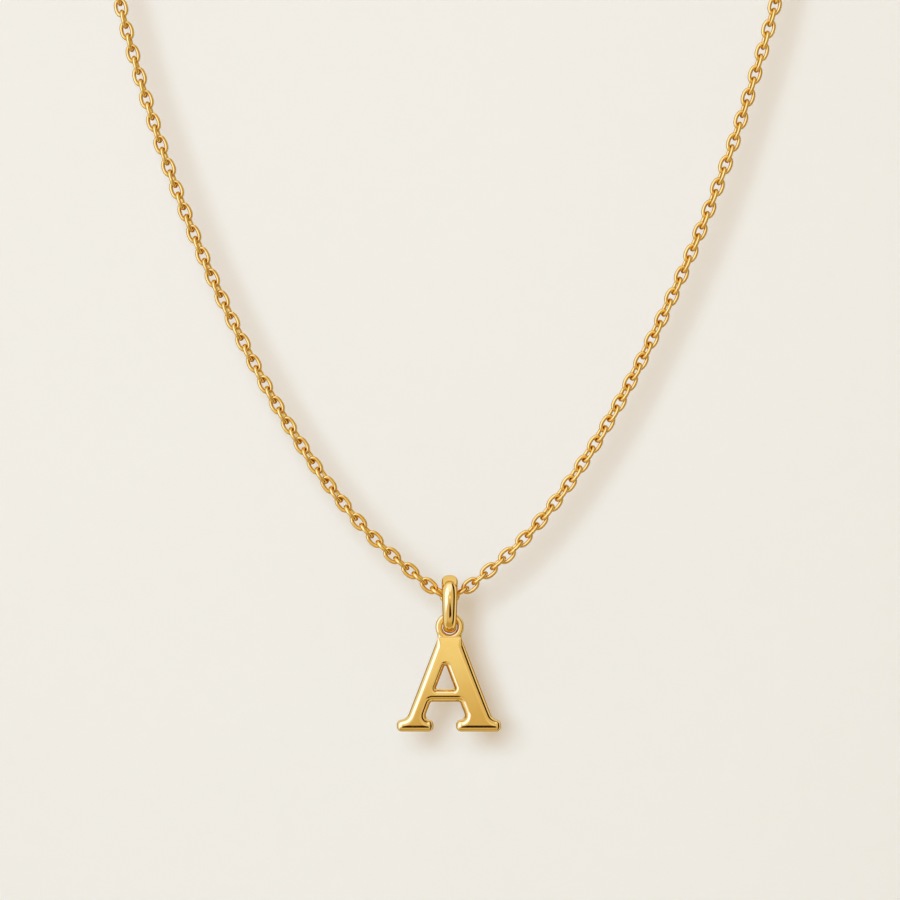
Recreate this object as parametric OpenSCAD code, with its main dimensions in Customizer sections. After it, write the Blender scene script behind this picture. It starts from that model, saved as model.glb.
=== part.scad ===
// Initial pendant on a cable chain: a serif letter A with a cast loop, a round-wire bail,
// two runs of oval links and a plain barrel clasp at the nape. Millimetres, +Z up.
// The origin is the middle of the clasp, where the necklace sits on the nape of the neck.

/* [Letter] */
// Height of the letter from the foot of its serifs to its flat top
letter_h = 12.5; // [11.5:0.1:13.5]
// Width over the outer edges of the two legs, at the foot
letter_base_w = 12.5; // [11.9:0.1:13.1]
// Width of the flat top
letter_top_w = 2.9; // [2.7:0.1:3.3]
// Thickness of the letter, front to back
letter_t = 1.8; // [1.5:0.1:2]
// Width of the thin left leg, measured level
thin_w = 2.25; // [2:0.05:2.5]
// Width of the thick right leg, measured level
thick_w = 3.4; // [3.1:0.1:3.7]
// Height of the crossbar's underside above the foot
bar_z = 3.9; // [3.6:0.1:4.4]
// Height of the crossbar itself
bar_h = 1.65; // [1.4:0.05:1.9]
// Height of the serif slabs
serif_h = 1.34; // [1.24:0.02:1.5]
// Reach of the thin leg's serif past the leg, outside
thin_out = 0.7; // [0.5:0.05:0.8]
// Reach of the thin leg's serif past the leg, inside
thin_in = 1.85; // [1.8:0.05:2.05]
// Reach of the thick leg's serif past the leg, outside
thick_out = 0.5; // [0.4:0.05:0.7]
// Reach of the thick leg's serif past the leg, inside
thick_in = 2.0; // [1.8:0.05:2.1]
// Slant of the serifs' tops, in degrees
serif_slant = 15; // [12:1:18]
// Rounding of the serifs' ends and of the letter's top corners
end_r = 0.66; // [0.64:0.01:0.68]
// Radius where a serif runs into the leg's outer edge
outer_bracket_r = 1.1; // [0.8:0.1:1.2]
// Radius where a serif runs into the leg's inner edge
inner_bracket_r = 0.6; // [0.4:0.05:0.65]
// Radius in the corners of the counter and under the crossbar
corner_r = 0.16; // [0.1:0.02:0.3]
// Rounding of the letter's front edge
edge_r = 0.6; // [0.4:0.05:0.6]
// Rounding of the letter's back edge
back_r = 0.3; // [0.2:0.05:0.35]

/* [Loop on the letter] */
// Bore of the loop cast on the letter's top
loop_bore = 2.24; // [2.16:0.02:2.4]
// Wall of the loop, measured outward from the bore
loop_wall = 0.74; // [0.66:0.02:0.84]
// Thickness of the loop, front to back
loop_t = 1.2; // [1:0.05:1.25]
// Rounding of the loop's edges
loop_edge_r = 0.34; // [0.26:0.02:0.36]
// Depth that the loop's rim sinks into the letter's top
loop_sink = 0.6; // [0.5:0.05:0.7]

/* [Bail] */
// Height of the bail over its wire
bail_h = 7.65; // [7.3:0.05:8.4]
// Depth of the bail over its wire, front to back
bail_d = 5.9; // [5.7:0.05:6.4]
// Thickness of the bail's wire, measured outward
bail_t = 1.7; // [1.5:0.05:1.75]
// Width of the bail's wire at the top
bail_top_w = 2.1; // [1.9:0.05:2.2]
// Width of the bail's wire at the foot, inside the loop
bail_foot_w = 1.8; // [1.6:0.05:1.86]
// Radius of the bail's rounded foot, to the middle of its wire
bail_foot_r = 1.7; // [1.65:0.05:1.9]

/* [Chain] */
// Diameter of the links' wire
wire_d = 0.46; // [0.42:0.01:0.48]
// Outer length of a link
link_l = 2.63; // [2.61:0.01:2.7]
// Outer width of a link
link_w = 1.84; // [1.8:0.01:1.9]

/* [Clasp] */
// Length of the clasp's barrel
clasp_l = 8.4; // [8:0.1:8.8]
// Diameter of the clasp's barrel
clasp_d = 3.2; // [2.8:0.1:3.6]
// Rounding of the barrel's ends
clasp_edge_r = 0.6; // [0.4:0.1:0.8]
// Diameter of the wire of the clasp's eyes
eye_wire_d = 0.5; // [0.46:0.01:0.54]

/* [Clearances] */
// Gap between two wires that interlock
link_gap = 0.13; // [0.12:0.01:0.16]
// Gap between the chain's middle link and the bail that hangs on it
bail_gap = 0.15; // [0.12:0.01:0.3]
// Gap between the bail's foot and the loop that hangs on it
loop_gap = 0.25; // [0.2:0.01:0.3]

/* [Hidden] */
gold = "#dcae55";

// Columns of chain_route
HEIGHT = 0; DEPTH = 1; LEFT_X = 2; RIGHT_X = 3; LEFT_TWIST = 4; RIGHT_TWIST = 5;
// The chain's route, seen from the wearer's front: height above the chain's lowest point,
// depth behind the hanging V, distance of each side from the middle, and how far the
// links there have turned about the chain, in degrees. The V ends at height 78.5; from
// there both sides go back round the neck to the clasp.
chain_route = [
    [0,     0,    0,    0,    0,   0],
    [0.4,   0,    1.5,  1.5,  -18, 6],
    [1.35,  0,    2.7,  2.7,  -14, 6],
    [3.1,   0,    4.9,  4.9,  -8,  8],
    [6,     0,    8.3,  8.25, -10, 10],
    [10,    0,    12.2, 12,   -14, 20],
    [16,    0,    16.9, 16.5, -30, 28],
    [24,    0,    22.1, 21.5, -22, 30],
    [34,    0,    27.5, 26.7, -22, 28],
    [45,    0,    32.6, 31.7, -20, 18],
    [57,    0,    37.2, 36.4, -14, 14],
    [69,    0,    41,   40.3, -10, 14],
    [78.5,  0,    43.5, 43,   -8,  12],
    [86,    3,    45.2, 45,   0,   0],
    [93,    10.5, 46.5, 46.5, 0,   0],
    [99,    22,   46,   46,   0,   0],
    [104,   35,   42.5, 42.5, 0,   0],
    [108,   47.5, 35.5, 35.5, 0,   0],
    [111,   58.5, 26,   26,   0,   0],
    [112.5, 66.5, 16,   16,   0,   0],
    [113,   69,   5.5,  5.5,  0,   0]];
// Share of a stretch's turn that its front-facing links take; the others take all of it
face_turn_share = 0.3;
route_steps = 12;
// Smoothness of wires, of the rings that they run in, and of turned shapes and their rims
wire_fn = 24;
ring_fn = 48;
turned_fn = 64;
rim_fn = 32;
nape = chain_route[len(chain_route) - 1];
drop = [0, -nape[DEPTH], -nape[HEIGHT]];

// Vectors
function unit(v) = v / norm(v);
function running_sum(values) =
    [for (i = 0, s = 0; i <= len(values); s = s + (i < len(values) ? values[i] : 0), i = i + 1) s];

// A smooth curve through the route's points, as one table per coordinate over the length
function route_row(side, i) =
    let (r = chain_route[abs(i)], mirrored = i < 0 ? -1 : 1)
    [mirrored * side * (side < 0 ? r[LEFT_X] : r[RIGHT_X]), r[DEPTH], r[HEIGHT],
     side < 0 ? r[LEFT_TWIST] : r[RIGHT_TWIST]];
function spline(p, q, r, s, t) =
    0.5 * (2 * q + (r - p) * t + (2 * p - 5 * q + 4 * r - s) * t * t + (3 * q - p - 3 * r + s) * t * t * t);
function curve(side) =
    let (last = len(chain_route) - 1)
    [for (i = [0 : last - 1], k = [0 : route_steps - (i < last - 1 ? 1 : 0)])
        let (q = route_row(side, i), r = route_row(side, i + 1),
             s = i + 2 > last ? 2 * r - q : route_row(side, i + 2))
        spline(route_row(side, i - 1), q, r, s, k / route_steps)];
function place(p) = [p[0], p[1], p[2]];
function lengths(points) =
    running_sum([for (i = [1 : len(points) - 1]) norm(place(points[i]) - place(points[i - 1]))]);

// Links: rings with round ends and straight sides
pitch = link_l - 2 * wire_d - link_gap;
half_l = (link_l - wire_d) / 2;
half_w = (link_w - wire_d) / 2;
link_straight = link_l - link_w;

// Even links face the front and follow the curve. Odd links join the two beside them.
function links(side) =
    let (points = curve(side), s = lengths(points), total = s[len(s) - 1],
         count = 2 * ceil((total / pitch - 0.5) / 2), step = total / (count + 0.5),
         xs = [for (i = [0 : len(s) - 1]) [s[i], points[i][0]]],
         ys = [for (i = [0 : len(s) - 1]) [s[i], points[i][1]]],
         zs = [for (i = [0 : len(s) - 1]) [s[i], points[i][2]]],
         turns = [for (i = [0 : len(s) - 1]) [s[i], points[i][3]]],
         at = function(d) [sign(d) * lookup(abs(d), xs), lookup(abs(d), ys), lookup(abs(d), zs)],
         faces = [for (i = [0 : 2 : count])
             [at(i * step), unit(at((i + 0.5) * step) - at((i - 0.5) * step))]],
         reach = step - half_l,
         all = [for (i = [0 : count])
             let (f = faces[floor(i / 2)])
             i % 2 == 0 ? f :
             let (g = faces[floor(i / 2) + 1], a = f[0] + reach * f[1], b = g[0] - reach * g[1])
             [(a + b) / 2, unit(b - a)]],
         fronts = [for (i = 0, n = [0, -1, 0]; i <= count; i = i + 1,
             n = i > count ? n : unit(n - (n * all[i][1]) * all[i][1])) n])
    [for (i = [0 : count])
        [all[i][0], all[i][1], fronts[i],
         (i % 2) * 90 + (i % 2 == 0 ? face_turn_share : 1) * lookup(i * step, turns)]];

// Puts local X along a link, local Z along its front and then turns it about X
module along(link) {
    d = link[1];
    n = unit(link[2] - (link[2] * d) * d);
    w = cross(n, d);
    c = link[0];
    multmatrix([[d[0], w[0], n[0], c[0]], [d[1], w[1], n[1], c[1]], [d[2], w[2], n[2], c[2]], [0, 0, 0, 1]])
        rotate([link[3], 0, 0])
            children();
}

module link() {
    for (s = [0, 180]) rotate(s) {
        translate([link_straight / 2, 0]) rotate(-90) rotate_extrude(angle = 180, $fn = ring_fn)
            translate([half_w, 0]) circle(d = wire_d, $fn = wire_fn);
        translate([-link_straight / 2, half_w]) rotate([0, 90, 0])
            cylinder(h = link_straight, d = wire_d, $fn = wire_fn);
    }
}

// The middle link, inside the bail, belongs to the left side
module chain_side(side) {
    row = links(side);
    translate(drop)
        for (i = [side < 0 ? 0 : 1 : len(row) - 1]) along(row[i]) link();
}

module chain_left() { color(gold) chain_side(-1); }

module chain_right() { color(gold) chain_side(1); }

// Clasp: a plain barrel with an eye at each end, where the last links hook in
module clasp() {
    color(gold) {
        rotate([0, 90, 0]) rotate_extrude($fn = turned_fn) barrel_half();
        for (side = [-1, 1]) clasp_eye(side);
    }
}

module barrel_half() {
    r = clasp_d / 2;
    z = clasp_l / 2;
    e = clasp_edge_r;
    translate([0, -z + e]) square([r, clasp_l - 2 * e]);
    translate([0, -z]) square([r - e, clasp_l]);
    for (s = [-1, 1]) translate([r - e, s * (z - e)]) circle(e, $fn = rim_fn);
}

module clasp_eye(side) {
    row = links(side);
    last = row[len(row) - 1];
    tip = nape[side < 0 ? LEFT_X : RIGHT_X] + (wire_d + link_gap) / 2;
    inner = clasp_l / 2 - eye_wire_d / 2;
    eye_r = (tip - inner) / 2;
    n = unit(last[2] - [last[2][0], 0, 0]);
    translate([side * (tip - eye_r), 0, 0])
        multmatrix([[1, 0, 0, 0], [0, n[1], -n[2], 0], [0, n[2], n[1], 0], [0, 0, 0, 1]])
            rotate_extrude($fn = ring_fn) translate([eye_r, 0]) circle(d = eye_wire_d, $fn = wire_fn);
}

// Bail: one closed ring of tapering wire, seen edge-on from the front
bail_top = link_w / 2 + bail_gap + bail_t;
bail_foot = bail_top - bail_h;
top_r = (bail_d - bail_t) / 2;
top_z = bail_top - bail_t / 2 - top_r;
foot_z = bail_foot + bail_t / 2 + bail_foot_r;
bail_lean = asin((top_r - bail_foot_r) / (top_z - foot_z));
bail_sides = 16;
bail_top_steps = 20;
bail_foot_steps = 14;

// Stations round the bail: angle, and centre and radius of the arc that it lies on
function bail_stations() = concat(
    [for (i = [0 : bail_top_steps]) [-bail_lean + i * (180 + 2 * bail_lean) / bail_top_steps, top_z, top_r]],
    [for (i = [0 : bail_foot_steps])
        [180 + bail_lean + i * (180 - 2 * bail_lean) / bail_foot_steps, foot_z, bail_foot_r]]);
function bail_ring(station) =
    let (a = station[0], z = station[1] + station[2] * sin(a),
         share = (z - foot_z + bail_foot_r) / (top_z + top_r - foot_z + bail_foot_r),
         half = (bail_foot_w + (bail_top_w - bail_foot_w) * share) / 2)
    [for (k = [0 : bail_sides - 1])
        let (b = k * 360 / bail_sides, r = station[2] + bail_t / 2 * cos(b))
        [half * sin(b), r * cos(a), station[1] + r * sin(a)]];

module bail() {
    rings = [for (s = bail_stations()) bail_ring(s)];
    n = len(rings);
    m = bail_sides;
    color(gold) translate(drop)
        polyhedron([for (ring = rings, p = ring) p],
            [for (i = [0 : n - 1], k = [0 : m - 1])
                let (j = (i + 1) % n, l = (k + 1) % m)
                each [[i * m + k, i * m + l, j * m + l], [i * m + k, j * m + l, j * m + k]]]);
}

// Letter: an outline with rounded corners, drawn in level by level to round its rims
loop_z = bail_foot + bail_t + loop_gap - loop_bore / 2;
loop_rim_r = loop_bore / 2 + loop_wall;
letter_z = loop_z - loop_rim_r + loop_sink - letter_h;
foot_x = letter_base_w / 2;
slope = (foot_x - letter_top_w / 2) / letter_h;
serif_rise = tan(serif_slant);
corner_steps = 5;
back_steps = 3;
front_steps = 6;

// A leg's edge at height z, on the outer side or across the leg at its width
function leg_x(side, across, z) = side * (foot_x - across - slope * z);
// Height at which a serif's slanted top meets the leg: turn is 1 inside and -1 outside
function meet(reach, turn) = (serif_h + serif_rise * reach) / (1 + turn * serif_rise * slope);

// Corners as [x, z, radius], with the metal on the left of the way round. The named corners
// are those that the two cap faces are split between.
function outer_corners() =
    let (li = meet(thin_in, 1), ri = meet(thick_in, 1), lo = meet(thin_out, -1), ro = meet(thick_out, -1),
         left = -foot_x - thin_out, left_in = leg_x(-1, thin_w, 0) + thin_in,
         right = foot_x + thick_out, right_in = leg_x(1, thick_w, 0) - thick_in)
    [[left, 0, end_r], [left_in, 0, end_r], [left_in, serif_h, end_r],
     [leg_x(-1, thin_w, li), li, inner_bracket_r],
     [leg_x(-1, thin_w, bar_z), bar_z, corner_r, "bar"], [leg_x(1, thick_w, bar_z), bar_z, corner_r],
     [leg_x(1, thick_w, ri), ri, inner_bracket_r],
     [right_in, serif_h, end_r], [right_in, 0, end_r], [right, 0, end_r], [right, serif_h, end_r],
     [leg_x(1, 0, ro), ro, outer_bracket_r],
     [leg_x(1, 0, letter_h), letter_h, end_r], [leg_x(-1, 0, letter_h), letter_h, end_r, "top"],
     [leg_x(-1, 0, lo), lo, outer_bracket_r], [left, serif_h, end_r]];
function counter_corners() =
    let (z = bar_z + bar_h, apex = (letter_base_w - thin_w - thick_w) / 2 / slope)
    [[leg_x(-1, thin_w, apex), apex, corner_r, "apex"], [leg_x(1, thick_w, z), z, corner_r],
     [leg_x(-1, thin_w, z), z, corner_r, "base"]];

function flat(corner) = [corner[0], corner[1]];
function corner_arc(before, corner, after) =
    let (p = flat(corner), r = corner[2], u = unit(flat(before) - p), v = unit(flat(after) - p),
         half = acos(u * v) / 2, turn = 180 - 2 * half, c = p + unit(u + v) * r / sin(half),
         from = p + u * r / tan(half) - c, to = p + v * r / tan(half) - c)
    [for (k = [0 : corner_steps])
        let (s = k / corner_steps) c + (sin((1 - s) * turn) * from + sin(s * turn) * to) / sin(turn)];
function rounded(corners) =
    let (n = len(corners))
    [for (i = [0 : n - 1]) each corner_arc(corners[(i + n - 1) % n], corners[i], corners[(i + 1) % n])];
// Index of the point halfway round the corner of that name
function halfway(corners, name) =
    let (at = [for (i = [0 : len(corners) - 1]) if (corners[i][3] == name) i][0])
    at * (corner_steps + 1) + floor(corner_steps / 2);
function left_of(v) = [-v[1], v[0]] / norm(v);
function drawn_in(points, d) =
    let (n = len(points))
    [for (i = [0 : n - 1])
        let (p = points[i], a = left_of(p - points[(i + n - 1) % n]), b = left_of(points[(i + 1) % n] - p))
        p + d * (a + b) / (1 + a * b)];
function run(from, to) = [for (i = [from : to]) i];
function backwards(list) = [for (i = [len(list) - 1 : -1 : 0]) list[i]];

// Triangles of a face with corners ids, the stoutest corner cut off first
function near(ids, i) = let (n = len(ids)) [ids[(i + n - 1) % n], ids[i], ids[(i + 1) % n]];
function holds(q, a, b, c) =
    q != a && q != b && q != c &&
    cross(b - a, q - a) >= 0 && cross(c - b, q - b) >= 0 && cross(a - c, q - c) >= 0;
function stoutness(points, ids, i) =
    let (t = near(ids, i), a = points[t[0]], b = points[t[1]], c = points[t[2]], size = cross(b - a, c - b))
    size <= 0 || len([for (k = ids) if (holds(points[k], a, b, c)) k]) > 0 ? 0 :
    size / pow(max(norm(b - a), norm(c - b), norm(a - c)), 2);
function triangles(points, ids) =
    len(ids) == 3 ? [ids] :
    let (last = len(ids) - 1, worth = [for (i = [0 : last]) stoutness(points, ids, i)],
         i = search(max(worth), worth)[0])
    concat([near(ids, i)], triangles(points, [for (k = [0 : last]) if (k != i) ids[k]]));

module letter_slab() {
    outer = rounded(outer_corners());
    counter = rounded(counter_corners());
    n = len(outer);
    size = n + len(counter);
    half = letter_t / 2;
    levels = concat(
        [for (k = [back_steps : -1 : 0])
            let (a = 90 * k / back_steps) [half - back_r + back_r * sin(a), back_r * (1 - cos(a))]],
        [for (k = [0 : front_steps])
            let (a = 90 * k / front_steps) [edge_r - half - edge_r * sin(a), edge_r * (1 - cos(a))]]);
    outlines = [for (l = levels) concat(drawn_in(outer, l[1]), drawn_in(counter, l[1]))];
    last = len(levels) - 1;
    top = halfway(outer_corners(), "top");
    bar = halfway(outer_corners(), "bar");
    apex = n + halfway(counter_corners(), "apex");
    base = n + halfway(counter_corners(), "base");
    caps = [concat(run(top, n - 1), run(0, bar), run(base, size - 1), run(n, apex)),
            concat(run(bar, top), run(apex, base))];
    polyhedron([for (i = [0 : last], p = outlines[i]) [p[0], levels[i][0], p[1] + letter_z]], concat(
        [for (i = [0 : last - 1], loop = [[0, n], [n, size - n]], k = [0 : loop[1] - 1])
            let (a = i * size + loop[0], b = a + size, l = (k + 1) % loop[1])
            [a + k, b + k, b + l, a + l]],
        [for (cap = caps) each triangles(outlines[0], cap)],
        [for (cap = caps, t = triangles(outlines[last], cap)) backwards([for (i = t) i + last * size])]));
}

module loop() {
    r = loop_edge_r;
    rotate_extrude($fn = turned_fn) {
        for (x = [loop_bore / 2 + r, loop_rim_r - r], y = [r - loop_t / 2, loop_t / 2 - r])
            translate([x, y]) circle(r, $fn = rim_fn);
        translate([loop_bore / 2, r - loop_t / 2]) square([loop_wall, loop_t - 2 * r]);
        translate([loop_bore / 2 + r, -loop_t / 2]) square([loop_wall - 2 * r, loop_t]);
    }
}

module letter() {
    color(gold) translate(drop) {
        letter_slab();
        translate([0, 0, loop_z]) rotate([90, 0, 0]) loop();
    }
}

letter();
bail();
chain_left();
chain_right();
clasp();
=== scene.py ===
"""Initial pendant on a cable chain: visible pieces, stage and light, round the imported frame."""
import math

import bmesh
import bpy
import numpy as np
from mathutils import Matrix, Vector
from mathutils.geometry import delaunay_2d_cdt


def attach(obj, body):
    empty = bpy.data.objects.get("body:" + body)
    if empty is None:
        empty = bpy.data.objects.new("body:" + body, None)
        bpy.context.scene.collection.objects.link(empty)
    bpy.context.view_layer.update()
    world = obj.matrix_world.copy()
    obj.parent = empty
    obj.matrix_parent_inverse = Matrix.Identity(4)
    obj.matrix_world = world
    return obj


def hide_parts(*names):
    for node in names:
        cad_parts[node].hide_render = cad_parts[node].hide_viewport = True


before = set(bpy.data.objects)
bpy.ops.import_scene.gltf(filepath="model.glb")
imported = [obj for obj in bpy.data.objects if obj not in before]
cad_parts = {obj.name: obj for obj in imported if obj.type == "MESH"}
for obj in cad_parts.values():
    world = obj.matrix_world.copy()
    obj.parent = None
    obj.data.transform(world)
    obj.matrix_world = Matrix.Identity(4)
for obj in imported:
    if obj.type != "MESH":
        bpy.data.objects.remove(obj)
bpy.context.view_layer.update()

# The route of the chain, as in the part's source, in metres and degrees: height above the
# chain's lowest point, depth behind the hanging V, distance of each side from the middle,
# and how far the links have turned about the chain on each side.
ROUTE = [
    (0.0, 0.0, 0.0, 0.0, 0, 0),
    (0.0004, 0.0, 0.0015, 0.0015, -18, 6),
    (0.00135, 0.0, 0.0027, 0.0027, -14, 6),
    (0.0031, 0.0, 0.0049, 0.0049, -8, 8),
    (0.006, 0.0, 0.0083, 0.00825, -10, 10),
    (0.010, 0.0, 0.0122, 0.012, -14, 20),
    (0.016, 0.0, 0.0169, 0.0165, -30, 28),
    (0.024, 0.0, 0.0221, 0.0215, -22, 30),
    (0.034, 0.0, 0.0275, 0.0267, -22, 28),
    (0.045, 0.0, 0.0326, 0.0317, -20, 18),
    (0.057, 0.0, 0.0372, 0.0364, -14, 14),
    (0.069, 0.0, 0.041, 0.0403, -10, 14),
    (0.0785, 0.0, 0.0435, 0.043, -8, 12),
    (0.086, 0.003, 0.0452, 0.045, 0, 0),
    (0.093, 0.0105, 0.0465, 0.0465, 0, 0),
    (0.099, 0.022, 0.046, 0.046, 0, 0),
    (0.104, 0.035, 0.0425, 0.0425, 0, 0),
    (0.108, 0.0475, 0.0355, 0.0355, 0, 0),
    (0.111, 0.0585, 0.026, 0.026, 0, 0),
    (0.1125, 0.0665, 0.016, 0.016, 0, 0),
    (0.113, 0.069, 0.0055, 0.0055, 0, 0),
]
HEIGHT, DEPTH, LEFT_X, RIGHT_X, LEFT_TWIST, RIGHT_TWIST = range(6)
ROUTE_STEPS = 12
FACE_TURN_SHARE = 0.3

# Chain. The wire shown is a little thicker, within the same outline of the link.
WIRE_D = 0.00046
SHOWN_WIRE_D = 0.0005
LINK_L = 0.00263
LINK_W = 0.00184
LINK_GAP = 0.00013
PITCH = LINK_L - 2 * WIRE_D - LINK_GAP
HALF_L = (LINK_L - WIRE_D) / 2
LINK_FULLNESS = 0.88
LINK_STEPS = 36
WIRE_SIDES = 12

# Where the hanging V stands in the frame, whose origin is the clasp
DROP = np.array((0, -ROUTE[-1][DEPTH], -ROUTE[-1][HEIGHT]))

# Bail
BAIL_H = 0.00765
BAIL_D = 0.0059
BAIL_T = 0.0017
BAIL_TOP_W = 0.0021
BAIL_FOOT_W = 0.0018
BAIL_FOOT_R = 0.0017
BAIL_GAP = 0.00015
BAIL_SIDES = 48
BAIL_ARC_STEPS = 48
BAIL_SIDE_STEPS = 20
BAIL_OUTER_POWER = 0.9
BAIL_INNER_POWER = 0.92

# Letter. A bevel is given by its width and depth. The flat one fades to the small one on the last
# stretch up to the letter's top.
LETTER_H = 0.0125
LETTER_BASE_W = 0.0125
LETTER_TOP_W = 0.0029
LETTER_T = 0.0018
LEG_SLOPE = (LETTER_BASE_W - LETTER_TOP_W) / 2 / LETTER_H
THIN_W = 0.00225
THICK_W = 0.0034
BAR_Z = 0.0039
BAR_H = 0.00165
SERIF_H = 0.00134
THIN_OUT = 0.0007
THIN_IN = 0.00185
THICK_OUT = 0.0005
THICK_IN = 0.002
SERIF_RISE = math.tan(math.radians(15))
END_R = 0.00066
TOP_R = 0.00036
OUTER_BRACKET_R = 0.0011
INNER_BRACKET_R = 0.0006
CORNER_R = 0.00016
BAR_R = 0.0003
BEVEL_TAPER = 0.0012
BACK_R = 0.0003
FLAT_BEVEL = (0.00086, 0.0007)
SMALL_BEVEL = (0.0003, 0.00005)
STEEP_BEVEL = (0.00086, 0.00105)
COUNTER_BEVEL = (0.0006, 0.0009)
RIM_TURN = math.radians(38)
FACE_CROWN = 0.0001
CROWN_FADE = 0.0004
CORNER_STEPS = 12
RIM_STEPS = 9
BACK_STEPS = 6
LONGEST_EDGE = 0.0002
FACE_GRID = 0.00009
SAME_POINT = 1e-9

# Loop on the letter, with its bore filled in a little, and the neck under it
LOOP_BORE = 0.00224
LOOP_WALL = 0.00074
LOOP_RIM_R = LOOP_BORE / 2 + LOOP_WALL
LOOP_FILL = 0.00012
LOOP_T = 0.0012
LOOP_EDGE_R = 0.00034
LOOP_SINK = 0.0006
LOOP_GAP = 0.00025
NECK_W = 0.00298
NECK_TOP_W = 0.00344
NECK_LOW = 0.0009
NECK_HIGH = 0.0011
NECK_DIP = 0.00017
NECK_R = 0.00034
NECK_T = 0.0013
NECK_BEVEL = (0.0005, 0.00045)
LOOP_RING_STEPS = 96
LOOP_EDGE_STEPS = 8

# Clasp
CLASP_L = 0.0084
CLASP_D = 0.0032
CLASP_EDGE_R = 0.0006
CLASP_SIDES = 64
CLASP_EDGE_POINTS = 10
GROOVE_FROM_END = 0.0016
GROOVE_HALF_W = 0.0002
GROOVE_D = 0.00008
GROOVE_POINTS = 9
EYE_WIRE_D = 0.0005
EYE_STEPS = 48
EYE_SIDES = 16

# Heights in the hanging V, from the middle of its lowest link
BAIL_TOP = LINK_W / 2 + BAIL_GAP + BAIL_T
BAIL_FOOT = BAIL_TOP - BAIL_H
LOOP_Z = BAIL_FOOT + BAIL_T + LOOP_GAP - LOOP_BORE / 2
LETTER_Z = LOOP_Z - LOOP_RIM_R + LOOP_SINK - LETTER_H

# From this angle on, an edge of joined solids is shown sharp
SHARP_ANGLE = math.radians(40)

# Camera: level, at the photograph's distance and framing
CAMERA_DISTANCE = 0.5
CAMERA_X = 0.00004
CAMERA_Z = -0.0938
VIEW_WIDTH = 0.1184
SENSOR = 36.0
CLIP_START = 0.01

# Stage
FLOOR_Z = -0.18
FLOOR_SIZE = 4.0
FLOOR_COLOUR = (0.86, 0.89, 0.94)
CARD_Y = -0.0475
CARD_TOP = -0.03
CARD_W = 0.2
CARD_COLOUR = (0.88, 0.855, 0.80)

# Key light
KEY_PLACE = (-0.065, -0.75, -0.036)
KEY_TARGET = (0, -0.069, -0.1)
KEY_SIZE = 0.16
KEY_POWER = 3.29
KEY_COLOUR = (0.56, 0.78, 1.0)


def unit(v):
    return v / np.linalg.norm(v)


def turned(v, angle):
    return np.array((v[0] * math.cos(angle) - v[1] * math.sin(angle),
                     v[0] * math.sin(angle) + v[1] * math.cos(angle)))


def make_mesh(name, points, faces):
    mesh = bpy.data.meshes.new(name)
    mesh.from_pydata([tuple(float(x) for x in p) for p in points], [], faces)
    mesh.polygons.foreach_set("use_smooth", [True] * len(mesh.polygons))
    mesh.update()
    piece = bpy.data.objects.new(name, mesh)
    bpy.context.scene.collection.objects.link(piece)
    return piece


def outward(piece):
    """Turns the faces of a closed mesh outwards."""
    grid = bmesh.new()
    grid.from_mesh(piece.data)
    bmesh.ops.recalc_face_normals(grid, faces=grid.faces)
    grid.to_mesh(piece.data)
    grid.free()
    return piece


def ring_faces(start, rings, sides, closed):
    """Quads between rings of points that lie one after another."""
    faces = []
    for i in range(rings if closed else rings - 1):
        for k in range(sides):
            a, b = start + i * sides, start + (i + 1) % rings * sides
            m = (k + 1) % sides
            faces.append((a + k, a + m, b + m, b + k))
    return faces


# Chain: a smooth curve through the route's points, and links laid along it

def route_row(side, i):
    row = ROUTE[abs(i)]
    x, twist = (row[LEFT_X], row[LEFT_TWIST]) if side < 0 else (row[RIGHT_X], row[RIGHT_TWIST])
    return np.array(((-side if i < 0 else side) * x, row[DEPTH], row[HEIGHT], twist))


def spline(p, q, r, s, t):
    """The smooth curve from q to r at the share t of the way."""
    return 0.5 * (2 * q + (r - p) * t + (2 * p - 5 * q + 4 * r - s) * t * t
                  + (3 * q - p - 3 * r + s) * t ** 3)


def route_curve(side):
    last = len(ROUTE) - 1
    points = []
    for i in range(last):
        q, r = route_row(side, i), route_row(side, i + 1)
        s = 2 * r - q if i + 2 > last else route_row(side, i + 2)
        steps = ROUTE_STEPS + (i == last - 1)
        points += [spline(route_row(side, i - 1), q, r, s, k / ROUTE_STEPS) for k in range(steps)]
    return np.array(points)


def link_places(side):
    """Centre, direction, front and turn of each link on one side. Even links face the front
    and follow the curve, and odd links join the two beside them."""
    curve = route_curve(side)
    run = np.concatenate(([0], np.cumsum(np.linalg.norm(np.diff(curve[:, :3], axis=0), axis=1))))
    count = 2 * math.ceil((run[-1] / PITCH - 0.5) / 2)
    step = run[-1] / (count + 0.5)

    def at(d):
        x, y, z = (np.interp(abs(d), run, curve[:, k]) for k in range(3))
        return np.array((math.copysign(x, x * d), y, z))

    faces = [(at(i * step), unit(at((i + 0.5) * step) - at((i - 0.5) * step)))
             for i in range(0, count + 1, 2)]
    reach = step - HALF_L
    front = np.array((0.0, -1.0, 0.0))
    places = []
    for i in range(count + 1):
        centre, along = faces[i // 2]
        if i % 2:
            after, after_along = faces[i // 2 + 1]
            a, b = centre + reach * along, after - reach * after_along
            centre, along = (a + b) / 2, unit(b - a)
        front = unit(front - (front @ along) * along)
        share = 1 if i % 2 else FACE_TURN_SHARE
        turn = (i % 2) * 90 + share * np.interp(i * step, run, curve[:, 3])
        places.append((centre, along, front, math.radians(turn)))
    return places


def powered(value, power):
    """The value to a power, with its sign kept, which makes ovals fuller or leaner."""
    return math.copysign(abs(value) ** power, value)


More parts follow.
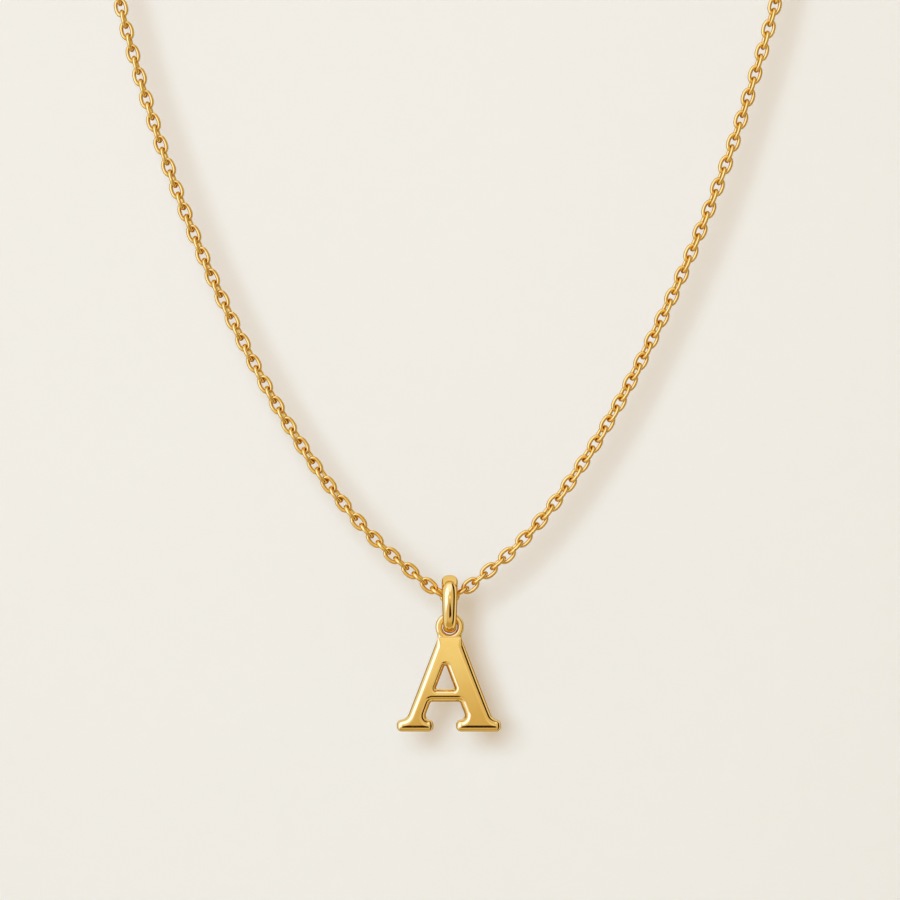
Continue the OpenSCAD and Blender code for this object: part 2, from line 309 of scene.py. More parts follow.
def link_points():
    """Rings of the link's wire round an oval, in the link's own plane."""
    half_l, half_w = (LINK_L - SHOWN_WIRE_D) / 2, (LINK_W - SHOWN_WIRE_D) / 2
    angles = [2 * math.pi * (k + 0.5) / LINK_STEPS for k in range(LINK_STEPS)]
    centres = np.array([(half_l * powered(math.cos(a), LINK_FULLNESS),
                         half_w * powered(math.sin(a), LINK_FULLNESS), 0) for a in angles])
    ahead = np.roll(centres, -1, axis=0) - np.roll(centres, 1, axis=0)
    up = np.array((0, 0, 1))
    points = []
    for centre, way in zip(centres, ahead):
        out = unit(np.cross(unit(way), up))
        for k in range(WIRE_SIDES):
            a = 2 * math.pi * k / WIRE_SIDES
            points.append(centre + SHOWN_WIRE_D / 2 * (math.cos(a) * out + math.sin(a) * up))
    return np.array(points)


def make_chain(name, side, first):
    """The links of one side, from the one numbered first up to the clasp."""
    link = link_points()
    points, faces = [], []
    for centre, along, front, turn in link_places(side)[first:]:
        across = np.cross(front, along)
        y = across * math.cos(turn) + front * math.sin(turn)
        z = front * math.cos(turn) - across * math.sin(turn)
        faces += ring_faces(len(points), LINK_STEPS, WIRE_SIDES, True)
        points += list(link @ np.array((along, y, z)) + centre + DROP)
    return outward(make_mesh(name, points, faces))


# Bail: a closed oval ring of four arcs, whose wire tapers towards its foot

def bail_stations():
    """Centre of the wire and the way outwards, all round the bail."""
    top_r = (BAIL_D - BAIL_T) / 2
    top_z = BAIL_TOP - BAIL_T / 2 - top_r
    foot_z = BAIL_FOOT + BAIL_T / 2 + BAIL_FOOT_R
    side_r = (top_r ** 2 - BAIL_FOOT_R ** 2 + (top_z - foot_z) ** 2) / 2 / (top_r - BAIL_FOOT_R)
    bend = math.atan((top_z - foot_z) / (side_r - top_r))
    arcs = [
        (0, top_z, top_r, 0, math.pi, BAIL_ARC_STEPS),
        (side_r - top_r, top_z, side_r, math.pi, math.pi + bend, BAIL_SIDE_STEPS),
        (0, foot_z, BAIL_FOOT_R, math.pi + bend, 2 * math.pi - bend, BAIL_ARC_STEPS),
        (top_r - side_r, top_z, side_r, 2 * math.pi - bend, 2 * math.pi, BAIL_SIDE_STEPS),
    ]
    stations = []
    for y, z, radius, start, end, steps in arcs:
        for k in range(steps):
            a = start + (end - start) * k / steps
            stations.append((y + radius * math.cos(a), z + radius * math.sin(a), a))
    return stations


def make_bail():
    points = []
    stations = bail_stations()
    for y, z, angle in stations:
        share = (z - BAIL_FOOT - BAIL_T / 2) / (BAIL_H - BAIL_T)
        half = (BAIL_FOOT_W + (BAIL_TOP_W - BAIL_FOOT_W) * share) / 2
        for k in range(BAIL_SIDES):
            b = 2 * math.pi * k / BAIL_SIDES
            power = BAIL_OUTER_POWER if math.cos(b) > 0 else BAIL_INNER_POWER
            out = BAIL_T / 2 * powered(math.cos(b), power)
            x = half * powered(math.sin(b), power)
            points.append(DROP + (x, y + out * math.cos(angle), z + out * math.sin(angle)))
    return outward(make_mesh("bail_wire", points, ring_faces(0, len(stations), BAIL_SIDES, True)))


# Letter: an outline with rounded corners, walls and rims round it, and a softly bevelled face

def leg_x(side, across, z):
    """A leg's edge at height z, on its outer side or across it at its width."""
    return side * (LETTER_BASE_W / 2 - across - LEG_SLOPE * z)


def serif_meets(reach, turn):
    """Height at which a serif's slanted top meets the leg, inside (1) or outside (-1)."""
    return (SERIF_H + SERIF_RISE * reach) / (1 + turn * SERIF_RISE * LEG_SLOPE)


def outer_corners():
    """Corners as x, z, radius and bevel there, with the metal on the left of the way round."""
    left_in_z, right_in_z = serif_meets(THIN_IN, 1), serif_meets(THICK_IN, 1)
    left_out_z, right_out_z = serif_meets(THIN_OUT, -1), serif_meets(THICK_OUT, -1)
    left, right = -LETTER_BASE_W / 2 - THIN_OUT, LETTER_BASE_W / 2 + THICK_OUT
    left_in = leg_x(-1, THIN_W, 0) + THIN_IN
    right_in = leg_x(1, THICK_W, 0) - THICK_IN
    corners = [
        (left, 0, END_R, FLAT_BEVEL),
        (left_in, 0, END_R, FLAT_BEVEL), (left_in, SERIF_H, END_R, FLAT_BEVEL),
        (leg_x(-1, THIN_W, left_in_z), left_in_z, INNER_BRACKET_R, STEEP_BEVEL),
        (leg_x(-1, THIN_W, BAR_Z), BAR_Z, BAR_R, STEEP_BEVEL),
        (leg_x(1, THICK_W, BAR_Z), BAR_Z, BAR_R, STEEP_BEVEL),
        (leg_x(1, THICK_W, right_in_z), right_in_z, INNER_BRACKET_R, STEEP_BEVEL),
        (right_in, SERIF_H, END_R, FLAT_BEVEL), (right_in, 0, END_R, FLAT_BEVEL),
        (right, 0, END_R, FLAT_BEVEL), (right, SERIF_H, END_R, FLAT_BEVEL),
        (leg_x(1, 0, right_out_z), right_out_z, OUTER_BRACKET_R, FLAT_BEVEL),
        (leg_x(1, 0, LETTER_H - BEVEL_TAPER), LETTER_H - BEVEL_TAPER, 0, FLAT_BEVEL),
        (leg_x(1, 0, LETTER_H), LETTER_H, TOP_R, SMALL_BEVEL),
        (leg_x(-1, 0, LETTER_H), LETTER_H, TOP_R, SMALL_BEVEL),
        (leg_x(-1, 0, LETTER_H - BEVEL_TAPER), LETTER_H - BEVEL_TAPER, 0, FLAT_BEVEL),
        (leg_x(-1, 0, left_out_z), left_out_z, OUTER_BRACKET_R, FLAT_BEVEL),
        (left, SERIF_H, END_R, FLAT_BEVEL),
    ]
    return [(x, z, radius, *bevel) for x, z, radius, bevel in corners]


def counter_corners():
    """The triangular opening above the bar."""
    z = BAR_Z + BAR_H
    apex = (LETTER_BASE_W - THIN_W - THICK_W) / 2 / LEG_SLOPE
    corners = [(leg_x(-1, THIN_W, apex), apex), (leg_x(1, THICK_W, z), z),
               (leg_x(-1, THIN_W, z), z)]
    return [(*corner, CORNER_R, *COUNTER_BEVEL) for corner in corners]


def neck_corners():
    """The short neck that fills the notches between the loop and the letter's top. It dips in the
    middle, to stay clear of the loop's bore."""
    low, high, dip = LETTER_H - NECK_LOW, LETTER_H + NECK_HIGH, LETTER_H - NECK_DIP
    half, top_half = NECK_W / 2, NECK_TOP_W / 2
    corners = [(-half, low), (half, low), (top_half, high), (0, dip), (-top_half, high)]
    return [(*corner, NECK_R, *NECK_BEVEL) for corner in corners]


def corner_arc(before, corner, after):
    """The arc at a corner, as x, z, bevel width and depth. Without a radius it is one point."""
    if not corner[2]:
        return [(*corner[:2], *corner[3:])]
    p = np.array(corner[:2])
    u, v = unit(np.array(before[:2]) - p), unit(np.array(after[:2]) - p)
    half = math.acos(u @ v) / 2
    centre = p + unit(u + v) * corner[2] / math.sin(half)
    start = p + u * corner[2] / math.tan(half) - centre
    turn = math.copysign(math.pi - 2 * half, u[1] * v[0] - u[0] * v[1])
    return [(*(centre + turned(start, turn * k / CORNER_STEPS)), *corner[3:])
            for k in range(CORNER_STEPS + 1)]


def rounded(corners):
    """The outline with arcs at its corners and short edges between, in the same four values."""
    n = len(corners)
    arcs = [np.array(corner_arc(corners[i - 1], corners[i], corners[(i + 1) % n]))
            for i in range(n)]
    points = []
    for i, arc in enumerate(arcs):
        points += list(arc)
        gap = arcs[(i + 1) % n][0] - arc[-1]
        pieces = math.ceil(np.linalg.norm(gap[:2]) / LONGEST_EDGE)
        points += [arc[-1] + gap * k / pieces for k in range(1, pieces)]
    return np.array(points)


def drawn_in(outline, distance):
    """The outline moved into the metal by one distance, or by one for each of its points."""
    flat = outline[:, :2]
    before = flat - np.roll(flat, 1, axis=0)
    after = np.roll(before, -1, axis=0)

    def left_of(v):
        return np.stack((-v[:, 1], v[:, 0]), axis=1) / np.linalg.norm(v, axis=1)[:, None]

    a, b = left_of(before), left_of(after)
    return flat + np.reshape(distance, (-1, 1)) * (a + b) / (1 + np.sum(a * b, axis=1))[:, None]


def inside(outline, points):
    """Which points lie inside the outline, by the crossings to their right."""
    odd = np.zeros(len(points), bool)
    for a, b in zip(outline, np.roll(outline, -1, axis=0)):
        if a[1] == b[1]:
            continue
        crosses = (points[:, 1] < a[1]) != (points[:, 1] < b[1])
        edge_x = a[0] + (points[:, 1] - a[1]) / (b[1] - a[1]) * (b[0] - a[0])
        odd ^= crosses & (points[:, 0] < edge_x)
    return odd


def between(rims, points):
    """Which points lie inside the first rim and outside the others."""
    found = inside(rims[0], points)
    for rim in rims[1:]:
        found &= ~inside(rim, points)
    return found


def bevel_drop(share, depth):
    """How far a bevel has dropped from the face, at a share of its width in from the rim."""
    return depth * (1 - np.sqrt(1 - np.clip(1 - share, 0, 1) ** 2))


def deepest_bevel(outlines, points):
    """Drop of the deepest bevel at each point, and each point's distance to the outlines."""
    drop, nearest = np.zeros(len(points)), np.full(len(points), np.inf)
    for outline in outlines:
        for a, b in zip(outline, np.roll(outline, -1, axis=0)):
            way = b - a
            t = np.clip((points - a[:2]) @ way[:2] / (way[:2] @ way[:2]), 0, 1)
            away = np.linalg.norm(points - a[:2] - t[:, None] * way[:2], axis=1)
            drop = np.maximum(drop, bevel_drop(away / (a[2] + t * way[2]), a[3] + t * way[3]))
            nearest = np.minimum(nearest, away)
    return drop, nearest


def front_y(drop, z, half):
    """Y of a slab's front: the face has a faint crown, which fades out down the bevels."""
    crown = FACE_CROWN * ((z - LETTER_H / 2) / (LETTER_H / 2)) ** 2
    return -half + drop + crown * np.clip(1 - drop / CROWN_FADE, 0, 1)


def cap(rims, points_inside):
    """Triangles of a flat face between the rims, with extra points inside."""
    points = [Vector(p) for rim in rims for p in rim] + [Vector(p) for p in points_inside]
    edges, start = [], 0
    for rim in rims:
        edges += [(start + k, start + (k + 1) % len(rim)) for k in range(len(rim))]
        start += len(rim)
    made = delaunay_2d_cdt(points, edges, [], 0, SAME_POINT)
    flat, faces = np.array([tuple(p) for p in made[0]]), np.array(made[2])
    middles = flat[faces].mean(axis=1)
    faces = faces[between(rims, middles)]
    first_source = np.array([source[0] for source in made[3]])
    return first_source[faces].tolist()


def slab_rims(outlines, half):
    """Points of a slab's rims, level by level from its flat back round to its face."""
    points = []
    for k in range(BACK_STEPS, -1, -1):
        a = math.pi / 2 * k / BACK_STEPS
        for outline in outlines:
            rim = drawn_in(outline, BACK_R * (1 - math.cos(a)))
            points += [(x, half - BACK_R + BACK_R * math.sin(a), z) for x, z in rim]
    for k in range(RIM_STEPS + 1):
        share = 1 - math.sin(math.pi / 2 + (RIM_TURN - math.pi / 2) * k / RIM_STEPS)
        for outline in outlines:
            rim = drawn_in(outline, share * outline[:, 2])
            ys = front_y(bevel_drop(share, outline[:, 3]), rim[:, 1], half)
            points += [(x, y, z) for (x, z), y in zip(rim, ys)]
    return points


def wall_faces(outlines, levels):
    """Quads between each level of rims and the next."""
    size = sum(len(outline) for outline in outlines)
    faces = []
    for i in range(levels - 1):
        start = i * size
        for outline in outlines:
            n = len(outline)
            for k in range(n):
                m = (k + 1) % n
                faces.append((start + k, start + size + k, start + size + m, start + m))
            start += n
    return faces


def face_grid(outlines, rims):
    """Points all over the face, in staggered rows that keep clear of the rims."""
    low, high = outlines[0][:, :2].min(axis=0), outlines[0][:, :2].max(axis=0)
    columns = np.arange(low[0], high[0], FACE_GRID)
    rows = enumerate(np.arange(low[1], high[1], FACE_GRID))
    grid = np.array([(x + (row % 2) * FACE_GRID / 2, z) for row, z in rows for x in columns])
    grid = grid[between(rims, grid)]
    rims_with_bevels = [np.column_stack((rim, o[:, 2:])) for rim, o in zip(rims, outlines)]
    return grid[deepest_bevel(rims_with_bevels, grid)[1] > FACE_GRID / 2]


def make_slab(name, outlines, thickness):
    """A slab of the first outline without the others, bevelled in front and rounded behind."""
    size = sum(len(outline) for outline in outlines)
    half = thickness / 2
    points = slab_rims(outlines, half)
    levels = len(points) // size
    faces = wall_faces(outlines, levels)
    faces += cap([drawn_in(o, BACK_R) for o in outlines], [])
    rims = [drawn_in(o, (1 - math.sin(RIM_TURN)) * o[:, 2]) for o in outlines]
    grid = face_grid(outlines, rims)
    drop = deepest_bevel(outlines, grid)[0]
    last, front = (levels - 1) * size, len(points)
    points += [(x, y, z) for (x, z), y in zip(grid, front_y(drop, grid[:, 1], half))]
    faces += [[last + v if v < size else front + v - size for v in f] for f in cap(rims, grid)]
    return outward(make_mesh(name, np.array(points) + DROP + (0, 0, LETTER_Z), faces))


def loop_section():
    """The loop's section, as distance from the loop's middle and place front to back."""
    inner, outer = LOOP_BORE / 2 - LOOP_FILL + LOOP_EDGE_R, LOOP_RIM_R - LOOP_EDGE_R
    corners = [(inner, -1, math.pi), (outer, -1, 1.5 * math.pi),
               (outer, 1, 0), (inner, 1, math.pi / 2)]
    section = []
    for r, way, start in corners:
        y = way * (LOOP_T / 2 - LOOP_EDGE_R)
        for k in range(LOOP_EDGE_STEPS + 1):
            a = start + math.pi / 2 * k / LOOP_EDGE_STEPS
            section.append((r + LOOP_EDGE_R * math.cos(a), y + LOOP_EDGE_R * math.sin(a)))
    return section


def make_loop():
    section = loop_section()
    points = []
    for i in range(LOOP_RING_STEPS):
        a = 2 * math.pi * i / LOOP_RING_STEPS
        points += [DROP + (r * math.cos(a), y, LOOP_Z + r * math.sin(a)) for r, y in section]
    faces = ring_faces(0, LOOP_RING_STEPS, len(section), True)
    return outward(make_mesh("letter_loop", points, faces))


def join_solids(piece, other):
    """Unites two solids into the first one, and removes the second."""
    union = piece.modifiers.new("union", "BOOLEAN")
    union.operation = "UNION"
    union.solver = "EXACT"
    union.object = other
    graph = bpy.context.evaluated_depsgraph_get()
    made = bpy.data.meshes.new_from_object(piece.evaluated_get(graph))
    piece.modifiers.clear()
    piece.data = made
    bpy.data.objects.remove(other)
    made.polygons.foreach_set("use_smooth", [True] * len(made.polygons))
    made.set_sharp_from_angle(angle=SHARP_ANGLE)
    return piece


# Clasp: a turned barrel with a groove at each end and two eyes for the last links

def clasp_profile():
    """The barrel's outline from its left end to its right, as x and radius."""
    half, r, e = CLASP_L / 2, CLASP_D / 2, CLASP_EDGE_R
    groove_x = half - GROOVE_FROM_END
    edge_turns = np.linspace(0, math.pi / 2, CLASP_EDGE_POINTS)
    profile = [(-half + e - e * math.cos(a), r - e + e * math.sin(a)) for a in edge_turns]
    for middle in (-groove_x, groove_x):
        profile += [(middle + GROOVE_HALF_W * s, r - GROOVE_D * (1 + math.cos(math.pi * s)) / 2)
                    for s in np.linspace(-1, 1, GROOVE_POINTS)]
    profile += [(half - e + e * math.cos(a), r - e + e * math.sin(a)) for a in edge_turns[::-1]]
    return profile


def make_clasp():
    profile = clasp_profile()
    turns = [2 * math.pi * k / CLASP_SIDES for k in range(CLASP_SIDES)]
    points = [(x, r * math.cos(turn), r * math.sin(turn)) for x, r in profile for turn in turns]
    faces = ring_faces(0, len(profile), CLASP_SIDES, False)
    faces.append(tuple(range(CLASP_SIDES)))
    faces.append(tuple(reversed(range(len(points) - CLASP_SIDES, len(points)))))
    return outward(make_mesh("clasp_barrel", points, faces))


def make_eye(side):
    """An eye at one end of the clasp, turned as the last link needs it."""
    last_front = link_places(side)[-1][2]
    tip = ROUTE[-1][LEFT_X if side < 0 else RIGHT_X] + (WIRE_D + LINK_GAP) / 2
    inner = CLASP_L / 2 - EYE_WIRE_D / 2
    radius = (tip - inner) / 2
    across = np.array((1.0, 0, 0))
    flat = unit(last_front - last_front[0] * across)
    up = np.cross(across, flat)
    centre = np.array((side * (tip - radius), 0, 0))
    points = []
    for i in range(EYE_STEPS):
        a = 2 * math.pi * i / EYE_STEPS
        out = across * math.cos(a) + up * math.sin(a)
        for k in range(EYE_SIDES):
            b = 2 * math.pi * k / EYE_SIDES
            from_middle = radius + EYE_WIRE_D / 2 * math.cos(b)
            points.append(centre + out * from_middle + flat * EYE_WIRE_D / 2 * math.sin(b))
    return outward(make_mesh("clasp_eye", points, ring_faces(0, EYE_STEPS, EYE_SIDES, True)))


chain_left = make_chain("chain_links_left", -1, 0)
chain_right = make_chain("chain_links_right", 1, 1)
bail = make_bail()
letter = make_slab("letter_a", [rounded(outer_corners()), rounded(counter_corners())], LETTER_T)
join_solids(letter, make_loop())
join_solids(letter, make_slab("letter_neck", [rounded(neck_corners())], NECK_T))
clasp = make_clasp()
for hand in (-1, 1):
    join_solids(clasp, make_eye(hand))


# Nodes that several materials use

def noise(tree, place, scale, detail, roughness=0.5):
    """Cloudy noise from 0 to 1 at a place."""
    made = tree.nodes.new("ShaderNodeTexNoise")
    made.inputs["Scale"].default_value = scale
    made.inputs["Detail"].default_value = detail
    made.inputs["Roughness"].default_value = roughness
    if place:
        tree.links.new(place, made.inputs["Vector"])
    return made.outputs["Fac"]


def mapped(tree, value, start, end, low=0.0, high=1.0):
    """A node that maps the values from start to end on those from low to high."""
    made = tree.nodes.new("ShaderNodeMapRange")
    tree.links.new(value, made.inputs["Value"])
    made.inputs["From Min"].default_value = start
    made.inputs["From Max"].default_value = end
    made.inputs["To Min"].default_value = low
    made.inputs["To Max"].default_value = high
    return made


def blend(tree, factor, first, second):
    """A colour between two others, each given as a colour or as the output of a node."""
    made = tree.nodes.new("ShaderNodeMix")
    made.data_type = "RGBA"
    tree.links.new(factor, made.inputs["Factor"])
    for name, colour in (("A", first), ("B", second)):
        if isinstance(colour, tuple):
            made.inputs[name].default_value = (*colour, 1)
        else:
            tree.links.new(colour, made.inputs[name])
    return made.outputs["Result"]


# Gold: clouds vary its colour, and fine lines along the height vary its polish

PENDANT_COLOUR = (0.95, 0.66, 0.235)
PENDANT_DEEP = (0.93, 0.625, 0.205)
PENDANT_EDGE = (0.8, 0.7, 0.5)
PENDANT_ROUGHNESS = 0.08
PENDANT_GRAIN = 0.2
CHAIN_COLOUR = (0.96, 0.62, 0.16)
CHAIN_DEEP = (0.9, 0.55, 0.13)
CHAIN_EDGE = (0.4, 0.25, 0.08)
CHAIN_ROUGHNESS = 0.06
CHAIN_GRAIN = 0.25
CLOUD_SCALE = 420.0
CLOUD_DETAIL = 3.0
CLOUD_CONTRAST = (0.35, 0.65)
POLISH_SCALE = 2600.0
POLISH_DETAIL = 4.0
POLISH_ROUGHNESS = 0.6
POLISH_STRETCH = (1.0, 1.0, 0.12)
POLISH_CONTRAST = (0.3, 0.7)
POLISH_DEPTH = 0.00001
ROUGHNESS_SPREAD = (0.8, 1.25)


def gold(name, colour, deep_colour, edge_colour, roughness, grain):
    """Polished gold with faint clouding, and fine polishing lines in its polish and its surface."""
    material = bpy.data.materials.new(name)
    material.use_nodes = True
    tree = material.node_tree
    shader = tree.nodes["Principled BSDF"]
    shader.inputs["Metallic"].default_value = 1.0
    shader.inputs["Specular Tint"].default_value = (*edge_colour, 1)
    place = tree.nodes.new("ShaderNodeTexCoord").outputs["Object"]
    cloud = noise(tree, place, CLOUD_SCALE, CLOUD_DETAIL)
    share = mapped(tree, cloud, *CLOUD_CONTRAST).outputs["Result"]
    tree.links.new(blend(tree, share, colour, deep_colour), shader.inputs["Base Color"])
    stretch = tree.nodes.new("ShaderNodeMapping")
    stretch.inputs["Scale"].default_value = POLISH_STRETCH
    tree.links.new(place, stretch.inputs["Vector"])
    polish = noise(tree, stretch.outputs["Vector"], POLISH_SCALE, POLISH_DETAIL, POLISH_ROUGHNESS)
    low, high = (roughness * spread for spread in ROUGHNESS_SPREAD)
    rough = mapped(tree, polish, *POLISH_CONTRAST, low, high)
    tree.links.new(rough.outputs["Result"], shader.inputs["Roughness"])
    bump = tree.nodes.new("ShaderNodeBump")
    bump.inputs["Strength"].default_value = grain
    bump.inputs["Distance"].default_value = POLISH_DEPTH
    tree.links.new(polish, bump.inputs["Height"])
    tree.links.new(bump.outputs["Normal"], shader.inputs["Normal"])
    return material


pendant_gold = gold("pendant_gold", PENDANT_COLOUR, PENDANT_DEEP, PENDANT_EDGE,
                    PENDANT_ROUGHNESS, PENDANT_GRAIN)
chain_gold = gold("chain_gold", CHAIN_COLOUR, CHAIN_DEEP, CHAIN_EDGE,
                  CHAIN_ROUGHNESS, CHAIN_GRAIN)

for piece, material, slot, body, nodes in (
        (chain_left, chain_gold, "chain_gold", "necklace", ["chain_left"]),
        (chain_right, chain_gold, "chain_gold", "necklace", ["chain_right"]),
        (clasp, chain_gold, "chain_gold", "necklace", ["clasp"]),
        (bail, pendant_gold, "pendant_gold", "bail", ["bail"]),
        (letter, pendant_gold, "pendant_gold", "letter", ["letter"])):
    piece.data.materials.clear()
    piece.data.materials.append(material)
    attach(piece, body)
    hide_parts(*nodes)


# Stage: a pale floor, and a pale card behind the pendant that takes its soft shadow

PAPER_ROUGHNESS = 0.9
PAPER_GLOSS = 0.1
PAPER_CLOUD_SCALE = 60.0
PAPER_CLOUD_DETAIL = 2.0
PAPER_CLOUD_SHADE = 0.985


def paper(name, colour, one_sided=False):
    """Matt paper with faint clouds, which can be clear from behind."""
    material = bpy.data.materials.new(name)
    material.use_nodes = True
    tree = material.node_tree
    shader = tree.nodes["Principled BSDF"]
    shader.inputs["Roughness"].default_value = PAPER_ROUGHNESS
    shader.inputs["Specular IOR Level"].default_value = PAPER_GLOSS
    cloud = noise(tree, None, PAPER_CLOUD_SCALE, PAPER_CLOUD_DETAIL)
    shaded = tuple(c * PAPER_CLOUD_SHADE for c in colour)
    tree.links.new(blend(tree, cloud, colour, shaded), shader.inputs["Base Color"])
    if one_sided:
        clear = tree.nodes.new("ShaderNodeBsdfTransparent")
        side = tree.nodes.new("ShaderNodeNewGeometry")
        choice = tree.nodes.new("ShaderNodeMixShader")
        tree.links.new(side.outputs["Backfacing"], choice.inputs["Fac"])
        tree.links.new(shader.outputs["BSDF"], choice.inputs[1])
        tree.links.new(clear.outputs["BSDF"], choice.inputs[2])
        output = tree.nodes["Material Output"]
        tree.links.new(choice.outputs["Shader"], output.inputs["Surface"])
    return material


def plane(name, corners, material):
    sheet = make_mesh(name, corners, [(0, 1, 2, 3)])
    sheet.data.materials.append(material)
    return sheet


far, near = FLOOR_SIZE / 2, -FLOOR_SIZE / 2
floor_corners = [(near, near, FLOOR_Z), (far, near, FLOOR_Z),
                 (far, far, FLOOR_Z), (near, far, FLOOR_Z)]
floor = plane("floor", floor_corners, paper("floor_paper", FLOOR_COLOUR))
floor.visible_glossy = False
right, left = CARD_W / 2, -CARD_W / 2
card_corners = [(left, CARD_Y, FLOOR_Z), (right, CARD_Y, FLOOR_Z),
                (right, CARD_Y, CARD_TOP), (left, CARD_Y, CARD_TOP)]
card = plane("card", card_corners, paper("card_paper", CARD_COLOUR, one_sided=True))
card.visible_glossy = False
card.visible_shadow = False


# Light: a soft key from the upper left front, and a studio all round that the gold mirrors

def aim(thing, target):
    thing.rotation_euler = (Vector(target) - thing.location).to_track_quat("-Z", "Y").to_euler()


key_data = bpy.data.lights.new("key", "AREA")
key_data.shape = "DISK"
key_data.size = KEY_SIZE
key_data.energy = KEY_POWER
key_data.color = KEY_COLOUR
key = bpy.data.objects.new("key", key_data)
key.location = KEY_PLACE
aim(key, KEY_TARGET)
key.visible_glossy = False
bpy.context.scene.collection.objects.link(key)


class Studio:
    """Builds the studio from soft-edged panels, placed in degrees: by the angle from straight in
    front of the pendant, and by the way round from there. On the right side that is 0 to the
    right, 90 up and -90 down, and on the left side 0 to the left, 90 up and -90 down."""

    def __init__(self, tree, base):
        self.tree = tree
        place = tree.nodes.new("ShaderNodeTexCoord")
        split = tree.nodes.new("ShaderNodeSeparateXYZ")
        tree.links.new(place.outputs["Generated"], split.inputs[0])
        x, y, z = split.outputs
        front, left = self.math("MULTIPLY", y, -1.0), self.math("MULTIPLY", x, -1.0)
        self.angle = self.degrees(self.math("ARCCOSINE", front))
        self.turn_right = self.degrees(self.math("ARCTAN2", x, front))
        self.height = self.degrees(self.math("ARCSINE", z))
        self.ways = {"right": self.degrees(self.math("ARCTAN2", z, x)),
                     "left": self.degrees(self.math("ARCTAN2", z, left))}
        self.colour = base

    def degrees(self, value):
        return self.math("MULTIPLY", value, 180 / math.pi)

    def math(self, operation, a, b=None):
        """Works out one or two values, each given as a number or as the output of a node."""
        made = self.tree.nodes.new("ShaderNodeMath")
        made.operation = operation
        for socket, value in zip(made.inputs, (a, b)):
            if isinstance(value, (int, float)):
                socket.default_value = value
            elif value is not None:
                self.tree.links.new(value, socket)
        return made.outputs[0]

    def rise(self, value, edge):
        """0 before a soft edge and 1 past it. The edge runs upwards or downwards."""
        start, end = edge
        low, high = (0.0, 1.0) if start < end else (1.0, 0.0)
        made = mapped(self.tree, value, min(edge), max(edge), low, high)
        made.interpolation_type = "SMOOTHSTEP"
        return made.outputs["Result"]

    def band(self, value, low_edge, high_edge):
        """1 between two soft edges and 0 outside them."""
        past_low, below_high = self.rise(value, low_edge), self.rise(value, high_edge[::-1])
        return self.math("MULTIPLY", past_low, below_high)

    def mix(self, factor, colour):
        """Lays a colour over the studio, as much as the factor says."""
        self.colour = blend(self.tree, factor, self.colour, colour)

    def panel(self, colour, side, way_low, way_high, out_low, out_high, by_turn=False):
        """Lays a panel between two edges round the middle and two on the way out. The way out is
        the angle from straight in front, or else the turn to the right."""
        around = self.band(self.ways[side], way_low, way_high)
        out = self.band(self.turn_right if by_turn else self.angle, out_low, out_high)
        self.mix(self.math("MULTIPLY", around, out), colour)


# The studio's colours, as light: above 1 they are brighter than white paper. AMBIENT and
# SKY_AMBIENT are all that matt paper sees of it, and PLAIN is what the camera sees.
BACK = (0.39, 0.27, 0.1)
EDGE = (0.92, 0.88, 0.78)
LEFT_EDGE = (0.86, 0.93, 1.05)
TOP_LINE = (0.6, 0.48, 0.26)
LOW_EDGE = (0.54, 0.43, 0.19)
LOW_FRONT = (0.78, 0.68, 0.5)
TOP = (1.1, 1.3, 2.1)
WHITE = (1.35, 1.75, 3.9)
DARK = (0.03, 0.012, 0.003)
FRONT_TOP = (1.03, 1.04, 0.93)
FRONT_LOW = (0.66, 0.535, 0.29)
AMBIENT = (0.58, 0.3, 0.0)
SKY_AMBIENT = (0.7, 0.7, 0.7)
PLAIN = (0.87, 0.84, 0.765)

# The studio's panels, each over the ones before it: colour, side, and four soft edges in degrees,
# two of the way round and two of the way out
SIDE_PANELS = [
    (LEFT_EDGE, "left", (-60, -40), (50, 70), (40, 60), (104, 116)),
    (EDGE, "right", (20, 35), (145, 160), (90, 92), (190, 200)),
    (TOP_LINE, "right", (40, 55), (125, 140), (84, 87), (96, 101)),
    (LOW_EDGE, "right", (-140, -120), (-60, -40), (30, 50), (88, 94)),
]
FRONT_PANELS = [
    (TOP, "left", (50, 70), (100, 120), (24, 38), (70, 80)),
    (WHITE, "left", (-34, -24), (66, 86), (11, 27), (56, 66)),
    (DARK, "right", (-103, -95), (-64, -54), (9, 12), (36, 40)),
]

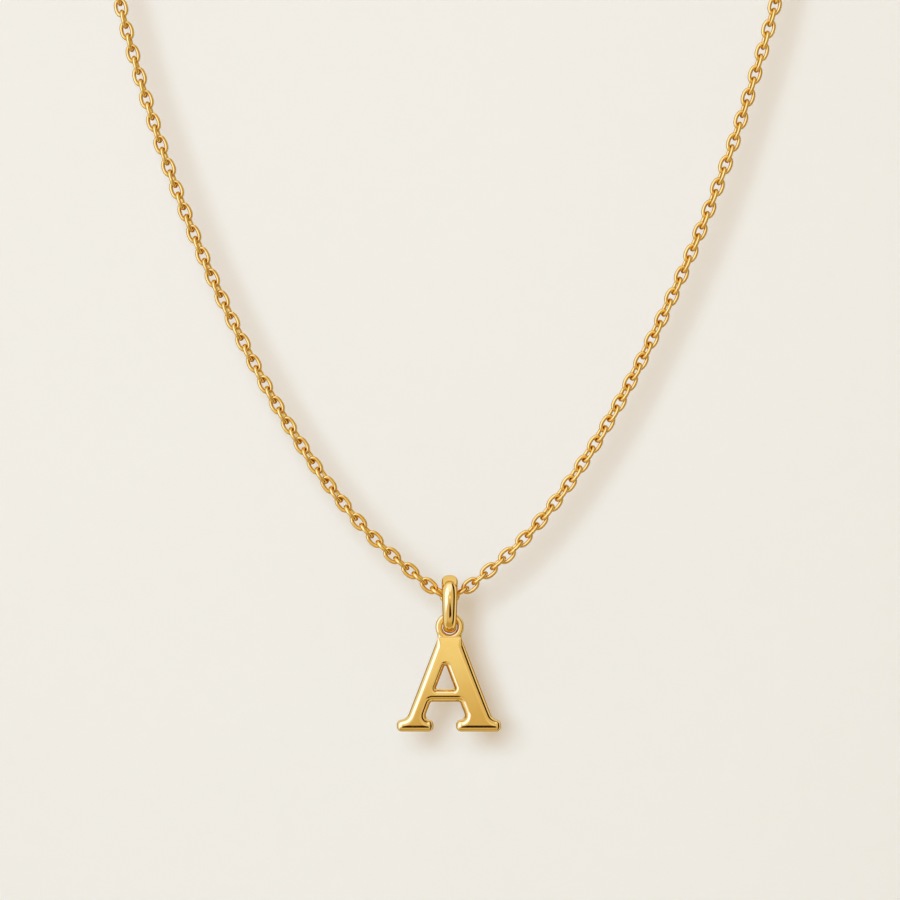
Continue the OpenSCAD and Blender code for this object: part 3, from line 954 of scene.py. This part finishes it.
# The dark line on the right, whose last two edges go by the turn to the right
DARK_LINE = (DARK, "right", (-66, -56), (68, 80), (38, 48), (72, 76))

# More soft edges, in degrees: where the edge colour, the front, the patch that the face mirrors and
# that patch's upper half start, and from what height on the sky's soft light comes
EDGE_START = (116, 104)
FRONT_START = (62, 38)
FACING_START = (14, 8)
FACING_TOP_START = (-9, 3)
SKY_START = (40, 60)


def make_studio():
    world = bpy.data.worlds.new("studio")
    bpy.context.scene.world = world
    world.use_nodes = True
    world.cycles.sampling_method = "NONE"
    tree = world.node_tree
    studio = Studio(tree, BACK)
    studio.mix(studio.rise(studio.angle, EDGE_START), EDGE)
    for panel in SIDE_PANELS:
        studio.panel(*panel)
    studio.mix(studio.rise(studio.angle, FRONT_START), LOW_FRONT)
    for panel in FRONT_PANELS:
        studio.panel(*panel)
    studio.panel(*DARK_LINE, by_turn=True)
    facing = studio.rise(studio.angle, FACING_START)
    studio.mix(facing, FRONT_LOW)
    facing_top = studio.rise(studio.height, FACING_TOP_START)
    studio.mix(studio.math("MULTIPLY", facing, facing_top), FRONT_TOP)
    path = tree.nodes.new("ShaderNodeLightPath")
    soft_light = path.outputs["Is Diffuse Ray"]
    studio.mix(soft_light, AMBIENT)
    sky = studio.rise(studio.height, SKY_START)
    studio.mix(studio.math("MULTIPLY", soft_light, sky), SKY_AMBIENT)
    studio.mix(path.outputs["Is Camera Ray"], PLAIN)
    tree.links.new(studio.colour, tree.nodes["Background"].inputs["Color"])


make_studio()


# Camera

camera_data = bpy.data.cameras.new("camera")
camera_data.sensor_width = SENSOR
camera_data.lens = SENSOR * CAMERA_DISTANCE / VIEW_WIDTH
camera_data.clip_start = CLIP_START
camera = bpy.data.objects.new("camera", camera_data)
camera.location = (CAMERA_X, DROP[1] - CAMERA_DISTANCE, CAMERA_Z)
camera.rotation_euler = (math.pi / 2, 0, 0)
bpy.context.scene.collection.objects.link(camera)
bpy.context.scene.camera = camera
bpy.context.scene.view_settings.view_transform = "Standard"
